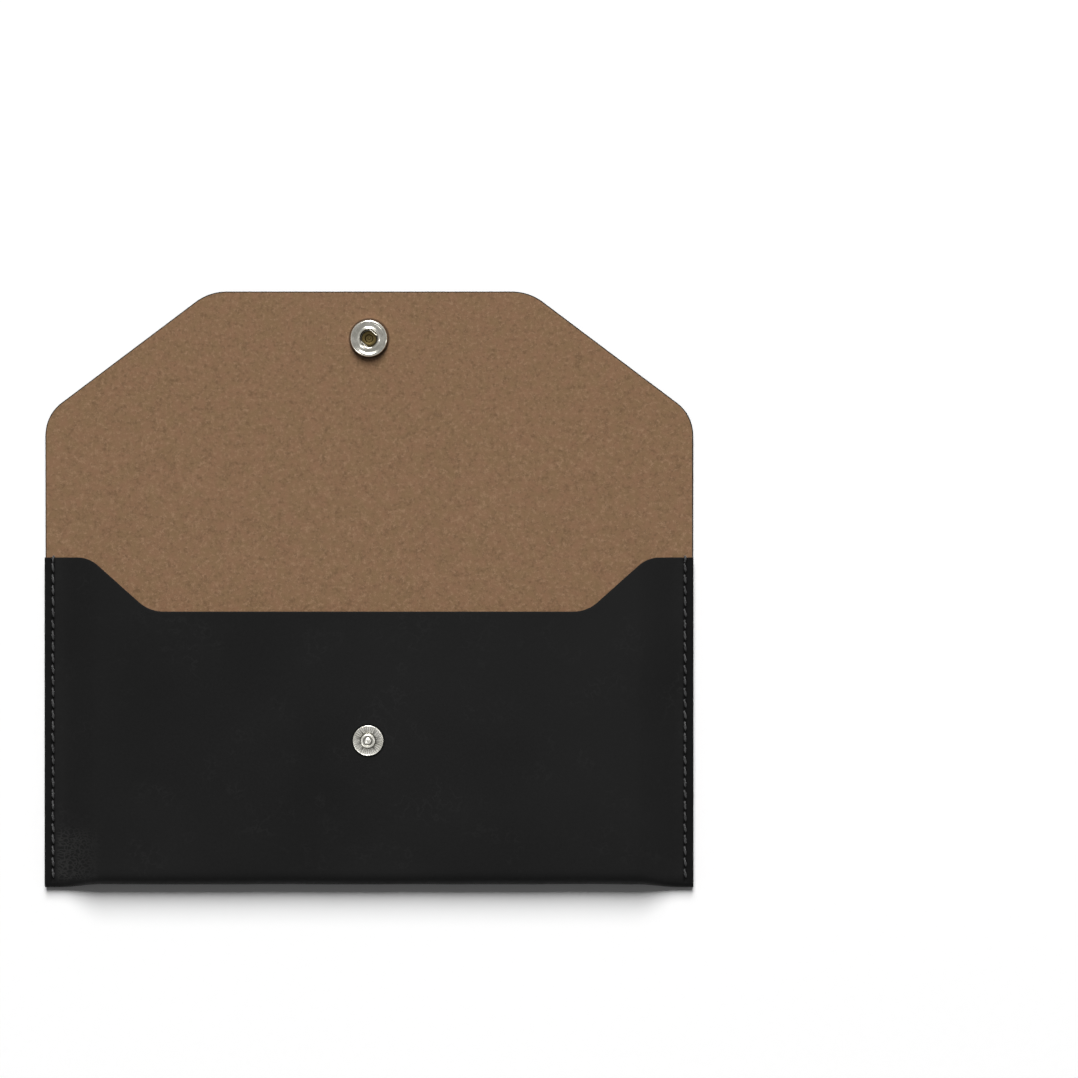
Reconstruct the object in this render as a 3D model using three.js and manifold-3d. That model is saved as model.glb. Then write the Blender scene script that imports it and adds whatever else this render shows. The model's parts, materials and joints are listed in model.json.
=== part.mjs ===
// An envelope wallet, lying on its back with its flap laid open. Millimetres, +Z up.
// X runs across the wallet, +Y from the bottom fold to the tip of the flap.
// The origin is on the surface that the wallet lies on, under the middle of its length and width.
import * as THREE from "three";
import { mergeVertices } from "three/addons/utils/BufferGeometryUtils.js";
import Module from "manifold-3d";

const wasm = await Module();
wasm.setup();

// Sheet: a black outer layer with a brown lining glued to its inside
const SHELL_THICKNESS = 0.8;
const LINING_THICKNESS = 0.38;
const SEAT_GAP = 0.02; // glue line, and the clearance wherever one piece lies on another
const LINING_INSET = 0.3; // the lining stops short of the cut edges

// Pocket: one sheet folded along the bottom and sewn up both sides
const WALLET_WIDTH = 176;
const BACK_HEIGHT = 90; // bottom fold to the first crease
const FRONT_HEIGHT = 89.6; // bottom fold to the shoulders of the mouth
const SEAM_CLEARANCE = 0.2; // between the two linings where the seams close the pocket
const POCKET_ROOM = 4.6; // between the two linings away from the seams
const SEAM_MARGIN = 3.8; // flat sewn border at each side
const PUFF_RISE = 12; // width over which the front panel rises from that border
const PUFF_STEPS = 5;
const BOTTOM_PULL = 1; // how far the filled middle draws the bottom fold in
const FOLD_STEPS = 8; // facets round the bottom fold

// Mouth: the scoop cut in the front panel
const MOUTH_TOP_HALF_WIDTH = 75.4;
const MOUTH_FLOOR_HALF_WIDTH = 59.1;
const MOUTH_DEPTH = 14.6;
const MOUTH_SHOULDER_RADIUS = 8.8;
const MOUTH_FLOOR_RADIUS = 10;
const MOUTH_OVERRUN = 3; // how far the cutter reaches past the edge of the panel

// Flap, measured from the second crease
const FLAP_LENGTH = 62.5;
const FLAP_SIDE_LENGTH = 29; // straight side before the slanting edge
const FLAP_TIP_HALF_WIDTH = 43.4;
const FLAP_SIDE_RADIUS = 11;
const FLAP_TIP_RADIUS = 14;

// Cap: a flat head outside the flap on a tubular post
const CAP_RADIUS = 4.1;
const CAP_HEIGHT = 0.6;
const CAP_EDGE_ROUND = 0.3;
const CAP_EDGE_STEPS = 3;
const CAP_POST_RADIUS = 1.5;
const CAP_POST_BORE = 1.1;
const CAP_FLARE_RADIUS = 2.15;
const CAP_FLARE_HEIGHT = 0.34;

// Socket: a pressed ring inside the flap, riveted on by the cap's post
const SOCKET_FROM_TIP = 12.8;
const SOCKET_RADIUS = 5.1;
const SOCKET_HEIGHT = 2.3;
const SOCKET_WALL = 0.3;
const SOCKET_MOUTH_RADIUS = 2.35;
const SOCKET_LIP_RADIUS = 2.8; // crest of the rolled lip round the mouth
const SOCKET_RING_DIP = 0.22; // how far the ring's face lies below the lip
const SOCKET_FOOT_HEIGHT = 0.7; // upright part of the socket's side
const SOCKET_EDGE_BREAK = 0.1; // how far its pressed edges are rounded off
const SOCKET_RING_SWELL = 0.05; // how far the ring's face rises to each side

// Spring: a bent wire in the socket, with one leg at each side of the mouth
const SPRING_WIRE_RADIUS = 0.2;
const SPRING_OPENING = 3.7; // between the two legs
const SPRING_TURN = -37; // degrees, how the legs lie in the socket
const SPRING_BEND_STEPS = 5;
const SPRING_PATH_STEPS = 22;

// Stud: a ribbed disc with a knob, on the front panel
const STUD_RADIUS = 4.1;
const STUD_BASE_HEIGHT = 0.5;
const STUD_RIM_WIDTH = 0.45;
const STUD_RIM_RISE = 0.12;
const STUD_NECK_RADIUS = 1.7;
const STUD_NECK_HEIGHT = 0.72;
const STUD_KNOB_RADIUS = 1.95;
const STUD_KNOB_HEIGHT = 1.6;
const STUD_DIMPLE_RADIUS = 0.75;
const STUD_DIMPLE_DEPTH = 0.12;
const STUD_CROWN_HEIGHT = 0.22; // rounded top of the knob
const RIB_COUNT = 24;
const RIB_WIDTH = 0.28;
const RIB_RISE = 0.1;
const RIB_START_RADIUS = 2.3;

// Post: a flanged pin behind the front panel that carries the stud
const POST_RADIUS = 1.15;
const POST_FLANGE_RADIUS = 3.6;
const POST_FLANGE_HEIGHT = 0.3;
const POST_REACH = 0.9; // into the stud, above its seat
const RUNNING_CLEARANCE = 0.1; // round each post
const CLOSED_CLEARANCE = 0.1; // between stud and socket when the flap is shut

// Side seams: lockstitch in a pressed groove
const STITCH_INSET = 2.3;
const STITCH_PITCH = 3.1;
const STITCH_FIRST_HOLE = 1.2; // below the shoulder
const STITCH_LAST_HOLE = 2.4; // above the bottom fold
const THREAD_RADIUS = 0.22;
const THREAD_WAIST_RADIUS = 0.13; // where a stitch dives into its hole
const THREAD_LOCK_WIDTH = 0.3; // the crossing threads inside a hole
const THREAD_SIDES = 4;
const NEEDLE_HOLE_RADIUS = 0.36;
const NEEDLE_HOLE_SIDES = 4;
const GROOVE_WIDTH = 0.8;
const GROOVE_DEPTH_FRONT = 0.3;
const GROOVE_DEPTH_BACK = 0.5;
const GROOVE_OVERRUN = 0.7; // past the last hole

const ROUND_SIDES = 24; // facets round the snap pieces
const ARC_STEPS = 4; // curve divisions of a rounded corner
const SETTLING_PASSES = 6;

const sheetThickness = SHELL_THICKNESS + SEAT_GAP + LINING_THICKNESS;
const halfWidth = WALLET_WIDTH / 2;
const socketReach = FLAP_LENGTH - SOCKET_FROM_TIP;
const stackHeight =
  sheetThickness + POCKET_ROOM + SEAT_GAP + STUD_BASE_HEIGHT + CLOSED_CLEARANCE + SEAT_GAP + SOCKET_HEIGHT;

// The open flap rests on its cap, so it slopes a little. The shut flap slopes as much the other way,
// and the strip is as wide as the shut snap is high. Each depends on the other.
let flapSlope = 0;
let stripWidth = stackHeight;
for (let pass = 0; pass < SETTLING_PASSES; pass++) {
  const capReach = stripWidth + socketReach - (CAP_RADIUS - CAP_EDGE_ROUND);
  flapSlope = Math.atan(CAP_HEIGHT / capReach);
  stripWidth = (stackHeight + socketReach * Math.sin(flapSlope)) / Math.cos(flapSlope);
}

const studY = BACK_HEIGHT - stripWidth * Math.sin(flapSlope) - socketReach * Math.cos(flapSlope);
const frontFace = 2 * sheetThickness + POCKET_ROOM;
const seamFace = 2 * sheetThickness + SEAM_CLEARANCE;
const walletLength =
  BACK_HEIGHT +
  (stripWidth + FLAP_LENGTH) * Math.cos(flapSlope) +
  sheetThickness * Math.sin(flapSlope);

const blackSheet = new THREE.MeshStandardMaterial({ color: 0x232323, roughness: 0.6, metalness: 0 });
const brownLining = new THREE.MeshStandardMaterial({ color: 0x7f6249, roughness: 0.95, metalness: 0 });
const blackThread = new THREE.MeshStandardMaterial({ color: 0x161616, roughness: 0.8, metalness: 0 });
const nickel = new THREE.MeshStandardMaterial({ color: 0xb5b0a6, roughness: 0.25, metalness: 1 });
const satinNickel = new THREE.MeshStandardMaterial({ color: 0x9a9894, roughness: 0.4, metalness: 1 });
const springWire = new THREE.MeshStandardMaterial({ color: 0xc9c2b2, roughness: 0.2, metalness: 1 });

// Solids and meshes

function toSolid(geometry) {
  const bare = new THREE.BufferGeometry();
  bare.setAttribute("position", geometry.getAttribute("position"));
  bare.setIndex(geometry.index);
  const merged = mergeVertices(bare);
  return new wasm.Manifold(
    new wasm.Mesh({
      numProp: 3,
      vertProperties: new Float32Array(merged.attributes.position.array),
      triVerts: new Uint32Array(merged.index.array),
    }),
  );
}

function toGeometry(solid) {
  const made = solid.getMesh();
  const geometry = new THREE.BufferGeometry();
  geometry.setAttribute("position", new THREE.BufferAttribute(made.vertProperties, 3));
  geometry.setIndex(new THREE.BufferAttribute(made.triVerts, 1));
  geometry.computeVertexNormals();
  return geometry;
}

function joined(solids) {
  return solids.reduce((whole, piece) => whole.add(piece));
}

function namedMesh(name, geometry, material) {
  const mesh = new THREE.Mesh(geometry, material);
  mesh.name = name;
  return mesh;
}

// Outlines

// Adds the corners [x, y, radius] to a path, each rounded by a true arc where its radius isn't zero.
function addRoundedCorners(path, corners) {
  corners.forEach(([x, y, radius], index) => {
    const corner = new THREE.Vector2(x, y);
    if (radius === 0) {
      if (index === 0) path.moveTo(x, y);
      else path.lineTo(x, y);
      return;
    }
    const before = new THREE.Vector2(...corners[index - 1]).sub(corner).normalize();
    const after = new THREE.Vector2(...corners[index + 1]).sub(corner).normalize();
    const halfAngle = Math.acos(before.dot(after)) / 2;
    const middle = before.clone().add(after).normalize();
    const centre = middle.multiplyScalar(radius / Math.sin(halfAngle)).add(corner);
    const tangent = radius / Math.tan(halfAngle);
    const from = before.clone().multiplyScalar(tangent).add(corner).sub(centre);
    const to = after.clone().multiplyScalar(tangent).add(corner).sub(centre);
    path.absarc(centre.x, centre.y, radius, from.angle(), to.angle(), from.cross(to) < 0);
  });
  return path;
}

function plate(outline, thickness) {
  return new THREE.ExtrudeGeometry(outline, {
    depth: thickness,
    bevelEnabled: false,
    curveSegments: ARC_STEPS,
  });
}

function disc(radius, bottom, top, sides = ROUND_SIDES) {
  const cylinder = new THREE.CylinderGeometry(radius, radius, top - bottom, sides);
  return cylinder.rotateX(Math.PI / 2).translate(0, 0, (bottom + top) / 2);
}

// Turns a closed profile of [radius, height] points about the Z axis.
function turned(profile, sides = ROUND_SIDES) {
  const points = profile.map(([radius, height]) => new THREE.Vector2(radius, height));
  if (THREE.ShapeUtils.area(points) < 0) points.reverse();
  return new THREE.LatheGeometry(points, sides).rotateX(Math.PI / 2);
}

// The points of an arc in a profile, from one angle to another in degrees.
function profileArc(radius, centreRadius, centreHeight, startAngle, endAngle, steps) {
  return Array.from({ length: steps + 1 }, (_, step) => {
    const angle = THREE.MathUtils.degToRad(startAngle + ((endAngle - startAngle) * step) / steps);
    return [centreRadius + radius * Math.cos(angle), centreHeight + radius * Math.sin(angle)];
  });
}

// Pocket

// How full the pocket is at x, from 0 on the sewn borders to 1 in the middle.
function fullness(x) {
  const share = (halfWidth - SEAM_MARGIN - Math.abs(x)) / PUFF_RISE;
  return (1 - Math.cos(Math.PI * THREE.MathUtils.clamp(share, 0, 1))) / 2;
}

function pocketColumns(reach) {
  const right = [reach];
  for (let step = 0; step <= PUFF_STEPS; step++) {
    right.push(halfWidth - SEAM_MARGIN - (PUFF_RISE * step) / PUFF_STEPS);
  }
  const left = right.map((x) => -x);
  return [...left, ...right.reverse()];
}

// The folded sheet's section at x, at a depth below its outer face: up from the end of the back panel,
// round the bottom fold and back along the front panel.
function pocketSection(x, depth, inset) {
  const height = THREE.MathUtils.lerp(seamFace, frontFace, fullness(x));
  const middle = height / 2;
  const centreY = BOTTOM_PULL * fullness(x) + middle;
  const section = [[x, BACK_HEIGHT, depth]];
  for (let step = 0; step <= FOLD_STEPS; step++) {
    const angle = (Math.PI * step) / FOLD_STEPS;
    const radius = middle - depth;
    section.push([x, centreY - radius * Math.sin(angle), middle - radius * Math.cos(angle)]);
  }
  section.push([x, FRONT_HEIGHT - inset, height - depth]);
  return section;
}

// One layer of the folded sheet, between two depths, as a closed body.
function foldedLayer(outerDepth, innerDepth, inset) {
  const columns = pocketColumns(halfWidth - inset);
  const outer = columns.map((x) => pocketSection(x, outerDepth, inset));
  const inner = columns.map((x) => pocketSection(x, innerDepth, inset));
  const rows = outer[0].length;
  const positions = [...outer, ...inner].flat(2);
  const outerAt = (column, row) => column * rows + row;
  const innerAt = (column, row) => (columns.length + column) * rows + row;
  const indices = [];
  const addQuad = (a, b, c, d) => indices.push(a, b, c, a, c, d);
  for (let column = 0; column < columns.length - 1; column++) {
    const next = column + 1;
    for (let row = 0; row < rows - 1; row++) {
      addQuad(outerAt(column, row), outerAt(next, row), outerAt(next, row + 1), outerAt(column, row + 1));
      addQuad(innerAt(column, row), innerAt(column, row + 1), innerAt(next, row + 1), innerAt(next, row));
    }
    const last = rows - 1;
    addQuad(outerAt(column, 0), innerAt(column, 0), innerAt(next, 0), outerAt(next, 0));
    addQuad(outerAt(column, last), outerAt(next, last), innerAt(next, last), innerAt(column, last));
  }
  const end = columns.length - 1;
  for (let row = 0; row < rows - 1; row++) {
    addQuad(outerAt(0, row), outerAt(0, row + 1), innerAt(0, row + 1), innerAt(0, row));
    addQuad(outerAt(end, row), innerAt(end, row), innerAt(end, row + 1), outerAt(end, row + 1));
  }
  const geometry = new THREE.BufferGeometry();
  geometry.setAttribute("position", new THREE.Float32BufferAttribute(positions, 3));
  geometry.setIndex(indices);
  return toSolid(geometry);
}

// The scoop is cut through the front panel only, between the two panels and past the front face.
function mouthCutter(inset) {
  const floor = FRONT_HEIGHT - MOUTH_DEPTH - inset;
  const top = FRONT_HEIGHT - inset;
  const slant = (MOUTH_TOP_HALF_WIDTH - MOUTH_FLOOR_HALF_WIDTH) / MOUTH_DEPTH;
  const cornerShift = inset * (Math.hypot(1, slant) - slant);
  const rimX = MOUTH_TOP_HALF_WIDTH + cornerShift;
  const floorX = MOUTH_FLOOR_HALF_WIDTH + cornerShift;
  const endX = rimX + MOUTH_SHOULDER_RADIUS + MOUTH_OVERRUN;
  const outline = addRoundedCorners(new THREE.Shape(), [
    [-endX, top + MOUTH_OVERRUN, 0],
    [-endX, top, 0],
    [-rimX, top, MOUTH_SHOULDER_RADIUS - inset],
    [-floorX, floor, MOUTH_FLOOR_RADIUS + inset],
    [floorX, floor, MOUTH_FLOOR_RADIUS + inset],
    [rimX, top, MOUTH_SHOULDER_RADIUS - inset],
    [endX, top, 0],
    [endX, top + MOUTH_OVERRUN, 0],
  ]);
  const bottom = sheetThickness + SEAM_CLEARANCE / 2;
  return toSolid(plate(outline, frontFace + MOUTH_OVERRUN - bottom).translate(0, 0, bottom));
}

const postHole = toSolid(
  disc(POST_RADIUS + RUNNING_CLEARANCE, sheetThickness + POCKET_ROOM / 2, frontFace + MOUTH_OVERRUN)
    .translate(0, studY, 0),
);

// Side seams

const stitchTop = FRONT_HEIGHT - STITCH_FIRST_HOLE;
const stitchCount = Math.round((stitchTop - STITCH_LAST_HOLE) / STITCH_PITCH);
const stitchLength = (stitchTop - STITCH_LAST_HOLE) / stitchCount;
const seamX = halfWidth - STITCH_INSET;
const holeRows = Array.from({ length: stitchCount + 1 }, (_, index) => stitchTop - index * stitchLength);
const frontThreadZ = seamFace - GROOVE_DEPTH_FRONT + SEAT_GAP + THREAD_RADIUS;
const backThreadZ = GROOVE_DEPTH_BACK - SEAT_GAP - THREAD_RADIUS;

function needleHoles(side) {
  return joined(
    holeRows.map((y) => {
      const hole = disc(NEEDLE_HOLE_RADIUS, -SEAM_MARGIN, seamFace + SEAM_MARGIN, NEEDLE_HOLE_SIDES);
      return toSolid(hole.translate(side * seamX, y, 0));
    }),
  );
}

function stitchGrooves(side) {
  const low = STITCH_LAST_HOLE - GROOVE_OVERRUN;
  const high = stitchTop + GROOVE_OVERRUN;
  const faces = [
    [seamFace - GROOVE_DEPTH_FRONT, seamFace + SEAM_MARGIN],
    [-SEAM_MARGIN, GROOVE_DEPTH_BACK],
  ];
  return joined(
    faces.map(([bottom, top]) => {
      const groove = new THREE.BoxGeometry(GROOVE_WIDTH, high - low, top - bottom);
      return toSolid(groove.translate(side * seamX, (low + high) / 2, (bottom + top) / 2));
    }),
  );
}

// One stitch, thick in the middle and drawn thin where it dives into a hole at each end.
function stitch(x, y, z) {
  const half = stitchLength / 2;
  const profile = [
    [0, -half],
    [THREAD_WAIST_RADIUS, -half],
    [THREAD_RADIUS, 0],
    [THREAD_WAIST_RADIUS, half],
    [0, half],
  ].map(([radius, along]) => new THREE.Vector2(radius, along));
  return toSolid(new THREE.LatheGeometry(profile, THREAD_SIDES).translate(x, y, z));
}

function seamThread(side) {
  const x = side * seamX;
  const lockHeight = frontThreadZ - backThreadZ + THREAD_LOCK_WIDTH;
  const pieces = holeRows.map((y) => {
    const lock = new THREE.BoxGeometry(THREAD_LOCK_WIDTH, THREAD_LOCK_WIDTH, lockHeight);
    return toSolid(lock.translate(x, y, (frontThreadZ + backThreadZ) / 2));
  });
  holeRows.slice(1).forEach((y) => {
    pieces.push(stitch(x, y + stitchLength / 2, frontThreadZ));
    pieces.push(stitch(x, y + stitchLength / 2, backThreadZ));
  });
  return toGeometry(joined(pieces));
}

function pocketGroup() {
  const holes = needleHoles(1).add(needleHoles(-1));
  const grooves = stitchGrooves(1).add(stitchGrooves(-1));
  const shell = foldedLayer(0, SHELL_THICKNESS, 0)
    .subtract(mouthCutter(0))
    .subtract(postHole)
    .subtract(grooves)
    .subtract(holes);
  const lining = foldedLayer(SHELL_THICKNESS + SEAT_GAP, sheetThickness, LINING_INSET)
    .subtract(mouthCutter(LINING_INSET))
    .subtract(postHole)
    .subtract(holes);
  const group = new THREE.Group();
  group.add(namedMesh("pocket_shell", toGeometry(shell), blackSheet));
  group.add(namedMesh("pocket_lining", toGeometry(lining), brownLining));
  group.add(namedMesh("left_seam_thread", seamThread(-1), blackThread));
  group.add(namedMesh("right_seam_thread", seamThread(1), blackThread));
  return group;
}

// Fold strip and flap, each with its crease at y = 0 and its inner face at z = 0

function stripOutline(inset) {
  const reach = halfWidth - inset;
  return addRoundedCorners(new THREE.Shape(), [
    [-reach, SEAT_GAP, 0],
    [reach, SEAT_GAP, 0],
    [reach, stripWidth, 0],
    [-reach, stripWidth, 0],
  ]);
}

function flapOutline(inset) {
  const slant = new THREE.Vector2(halfWidth - FLAP_TIP_HALF_WIDTH, FLAP_LENGTH - FLAP_SIDE_LENGTH);
  const sideDrop = (inset * (slant.length() - slant.y)) / slant.x;
  const tipDrop = (inset * (slant.length() - slant.x)) / slant.y;
  const reach = halfWidth - inset;
  const sideY = FLAP_SIDE_LENGTH - sideDrop;
  const tipX = FLAP_TIP_HALF_WIDTH - tipDrop;
  const tipY = FLAP_LENGTH - inset;
  return addRoundedCorners(new THREE.Shape(), [
    [-reach, SEAT_GAP, 0],
    [reach, SEAT_GAP, 0],
    [reach, sideY, FLAP_SIDE_RADIUS - inset],
    [tipX, tipY, FLAP_TIP_RADIUS - inset],
    [-tipX, tipY, FLAP_TIP_RADIUS - inset],
    [-reach, sideY, FLAP_SIDE_RADIUS - inset],
    [-reach, SEAT_GAP, 0],
  ]);
}

function sheetLayers(namePrefix, outlineAt, cutter) {
  const shell = plate(outlineAt(0), SHELL_THICKNESS).translate(0, 0, -sheetThickness);
  const lining = plate(outlineAt(LINING_INSET), LINING_THICKNESS).translate(0, 0, -LINING_THICKNESS);
  const cut = (geometry) => (cutter ? toGeometry(toSolid(geometry).subtract(cutter)) : geometry);
  return [
    namedMesh(namePrefix + "_shell", cut(shell), blackSheet),
    namedMesh(namePrefix + "_lining", cut(lining), brownLining),
  ];
}

// Snap, each half on its own axis at the face of the sheet that it stands on

function capGeometry() {
  const sheetFace = -sheetThickness;
  const faceZ = sheetFace - CAP_HEIGHT;
  const flareBottom = SEAT_GAP + SOCKET_WALL + SEAT_GAP;
  const flareTop = flareBottom + CAP_FLARE_HEIGHT;
  const roundZ = faceZ + CAP_EDGE_ROUND;
  return turned([
    [0, faceZ],
    ...profileArc(CAP_EDGE_ROUND, CAP_RADIUS - CAP_EDGE_ROUND, roundZ, -90, 0, CAP_EDGE_STEPS),
    [CAP_RADIUS, sheetFace - SEAT_GAP],
    [CAP_POST_RADIUS, sheetFace - SEAT_GAP],
    [CAP_POST_RADIUS, flareBottom],
    [CAP_FLARE_RADIUS, flareBottom],
    [(CAP_FLARE_RADIUS + CAP_POST_RADIUS) / 2, flareTop],
    [CAP_POST_BORE, flareTop - SEAT_GAP],
    [CAP_POST_BORE, sheetFace],
    [0, sheetFace],
  ]);
}

function socketGeometry() {
  const foot = SEAT_GAP;
  const top = foot + SOCKET_HEIGHT;
  const ringFace = top - SOCKET_RING_DIP;
  const roof = ringFace - SOCKET_WALL;
  const shoulder = SOCKET_RADIUS - SOCKET_WALL;
  const cavity = SOCKET_RADIUS - 2 * SOCKET_WALL;
  const holeRadius = CAP_POST_RADIUS + RUNNING_CLEARANCE;
  const sideTop = foot + SOCKET_FOOT_HEIGHT;
  return turned([
    [holeRadius, foot],
    [SOCKET_RADIUS - SOCKET_EDGE_BREAK, foot],
    [SOCKET_RADIUS, foot + SOCKET_EDGE_BREAK],
    [SOCKET_RADIUS, sideTop],
    [SOCKET_RADIUS - SOCKET_EDGE_BREAK, (sideTop + ringFace) / 2],
    [shoulder - SOCKET_EDGE_BREAK, ringFace],
    [shoulder - SOCKET_WALL, ringFace + SOCKET_RING_SWELL],
    [SOCKET_LIP_RADIUS + SOCKET_WALL, ringFace - SOCKET_RING_SWELL],
    [SOCKET_LIP_RADIUS, top],
    [SOCKET_MOUTH_RADIUS + SOCKET_EDGE_BREAK, top - SOCKET_EDGE_BREAK],
    [SOCKET_MOUTH_RADIUS, ringFace - SOCKET_EDGE_BREAK],
    [SOCKET_MOUTH_RADIUS + SOCKET_EDGE_BREAK, roof],
    [cavity - SOCKET_WALL, roof],
    [cavity, sideTop],
    [cavity, foot + SOCKET_WALL],
    [holeRadius, foot + SOCKET_WALL],
    [holeRadius, foot],
  ]);
}

// The wire runs along one side of the mouth, round the wall of the socket and back along the other side.
function springGeometry() {
  const legX = SPRING_OPENING / 2 + SPRING_WIRE_RADIUS;
  const bendRadius = SOCKET_RADIUS - 3 * SOCKET_WALL - SPRING_WIRE_RADIUS - RUNNING_CLEARANCE;
  const legEnd = Math.sqrt(bendRadius * bendRadius - legX * legX);
  const bendStart = Math.atan2(legEnd, legX);
  const roof = SEAT_GAP + SOCKET_HEIGHT - SOCKET_RING_DIP - SOCKET_WALL;
  const z = roof - SEAT_GAP - SPRING_WIRE_RADIUS;
  const points = [new THREE.Vector3(legX, -legEnd, z), new THREE.Vector3(legX, 0, z)];
  for (let step = 0; step <= SPRING_BEND_STEPS; step++) {
    const angle = THREE.MathUtils.lerp(bendStart, Math.PI - bendStart, step / SPRING_BEND_STEPS);
    points.push(new THREE.Vector3(bendRadius * Math.cos(angle), bendRadius * Math.sin(angle), z));
  }
  points.push(new THREE.Vector3(-legX, 0, z), new THREE.Vector3(-legX, -legEnd, z));
  const section = new THREE.Shape();
  section.absarc(0, 0, SPRING_WIRE_RADIUS, 0, 2 * Math.PI, false);
  return new THREE.ExtrudeGeometry(section, {
    steps: SPRING_PATH_STEPS,
    curveSegments: ARC_STEPS,
    bevelEnabled: false,
    extrudePath: new THREE.CatmullRomCurve3(points, false, "centripetal"),
  });
}

function studGeometry() {
  const ringTop = STUD_BASE_HEIGHT + SEAT_GAP - STUD_RIM_RISE;
  const rimTop = STUD_BASE_HEIGHT + SEAT_GAP;
  const neckTop = SEAT_GAP + STUD_BASE_HEIGHT + STUD_NECK_HEIGHT;
  const knobTop = SEAT_GAP + STUD_BASE_HEIGHT + STUD_KNOB_HEIGHT;
  const knobMiddle = (neckTop + knobTop) / 2;
  const boreRadius = POST_RADIUS + RUNNING_CLEARANCE;
  const boreTop = POST_REACH + RUNNING_CLEARANCE;
  const body = turned([
    [boreRadius, SEAT_GAP],
    [STUD_RADIUS - STUD_RIM_RISE, SEAT_GAP],
    [STUD_RADIUS, SEAT_GAP + STUD_RIM_RISE],
    [STUD_RADIUS, rimTop - STUD_RIM_RISE],
    [STUD_RADIUS - STUD_RIM_RISE, rimTop],
    [STUD_RADIUS - STUD_RIM_WIDTH, rimTop],
    [STUD_RADIUS - STUD_RIM_WIDTH - STUD_RIM_RISE, ringTop],
    [STUD_NECK_RADIUS + STUD_RIM_RISE, ringTop],
    [STUD_NECK_RADIUS, ringTop + STUD_RIM_RISE],
    [STUD_NECK_RADIUS, neckTop - STUD_RIM_RISE],
    [STUD_KNOB_RADIUS, knobMiddle],
    [STUD_KNOB_RADIUS - STUD_RIM_RISE, knobTop - STUD_CROWN_HEIGHT],
    [STUD_KNOB_RADIUS - STUD_RIM_WIDTH, knobTop],
    [STUD_DIMPLE_RADIUS + STUD_DIMPLE_DEPTH, knobTop],
    [STUD_DIMPLE_RADIUS, knobTop - STUD_DIMPLE_DEPTH],
    [0, knobTop - STUD_DIMPLE_DEPTH],
    [0, boreTop],
    [boreRadius, boreTop],
    [boreRadius, SEAT_GAP],
  ]);
  const ribEnd = STUD_RADIUS - STUD_RIM_WIDTH;
  const ribs = Array.from({ length: RIB_COUNT }, (_, index) => {
    const height = STUD_RIM_RISE + RIB_RISE;
    const rib = new THREE.BoxGeometry(ribEnd - RIB_START_RADIUS, RIB_WIDTH, height);
    rib.translate((ribEnd + RIB_START_RADIUS) / 2, 0, ringTop + RIB_RISE - height / 2);
    return toSolid(rib.rotateZ((2 * Math.PI * index) / RIB_COUNT));
  });
  return toGeometry(joined([toSolid(body), ...ribs]));
}

function postGeometry() {
  const flangeTop = -sheetThickness - SEAT_GAP;
  return turned([
    [0, flangeTop - POST_FLANGE_HEIGHT],
    [POST_FLANGE_RADIUS - POST_FLANGE_HEIGHT / 2, flangeTop - POST_FLANGE_HEIGHT],
    [POST_FLANGE_RADIUS, flangeTop - POST_FLANGE_HEIGHT / 2],
    [POST_FLANGE_RADIUS, flangeTop],
    [POST_RADIUS, flangeTop],
    [POST_RADIUS, POST_REACH],
    [0, POST_REACH],
  ]);
}

function studGroup() {
  const group = new THREE.Group();
  group.add(namedMesh("snap_stud", studGeometry(), nickel));
  group.add(namedMesh("snap_post", postGeometry(), nickel));
  return group;
}

function socketGroup() {
  const group = new THREE.Group();
  const spring = namedMesh("socket_spring", springGeometry(), springWire);
  spring.rotation.z = THREE.MathUtils.degToRad(SPRING_TURN);
  group.add(namedMesh("snap_cap", capGeometry(), satinNickel));
  group.add(namedMesh("snap_socket", socketGeometry(), nickel));
  group.add(spring);
  return group;
}

// Assembly: the strip turns on the first crease, and the flap on the second

function flapGroup() {
  const capHole = disc(CAP_POST_RADIUS + RUNNING_CLEARANCE, -2 * sheetThickness, sheetThickness);
  const group = new THREE.Group();
  group.add(...sheetLayers("flap", flapOutline, toSolid(capHole.translate(0, socketReach, 0))));
  const snap = socketGroup();
  snap.position.y = socketReach;
  group.add(snap);
  return group;
}

function stripGroup() {
  const group = new THREE.Group();
  group.add(...sheetLayers("strip", stripOutline));
  const flap = flapGroup();
  flap.position.y = stripWidth;
  group.add(flap);
  return group;
}

const wallet = new THREE.Group();
wallet.position.y = -walletLength / 2;

wallet.add(pocketGroup());

const stud = studGroup();
stud.position.set(0, studY, frontFace);
wallet.add(stud);

const strip = stripGroup();
strip.position.set(0, BACK_HEIGHT, sheetThickness);
strip.rotation.x = flapSlope;
wallet.add(strip);

export default wallet;
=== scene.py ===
import json
import math
import random

import bpy
from mathutils import Matrix, Vector, noise


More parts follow.
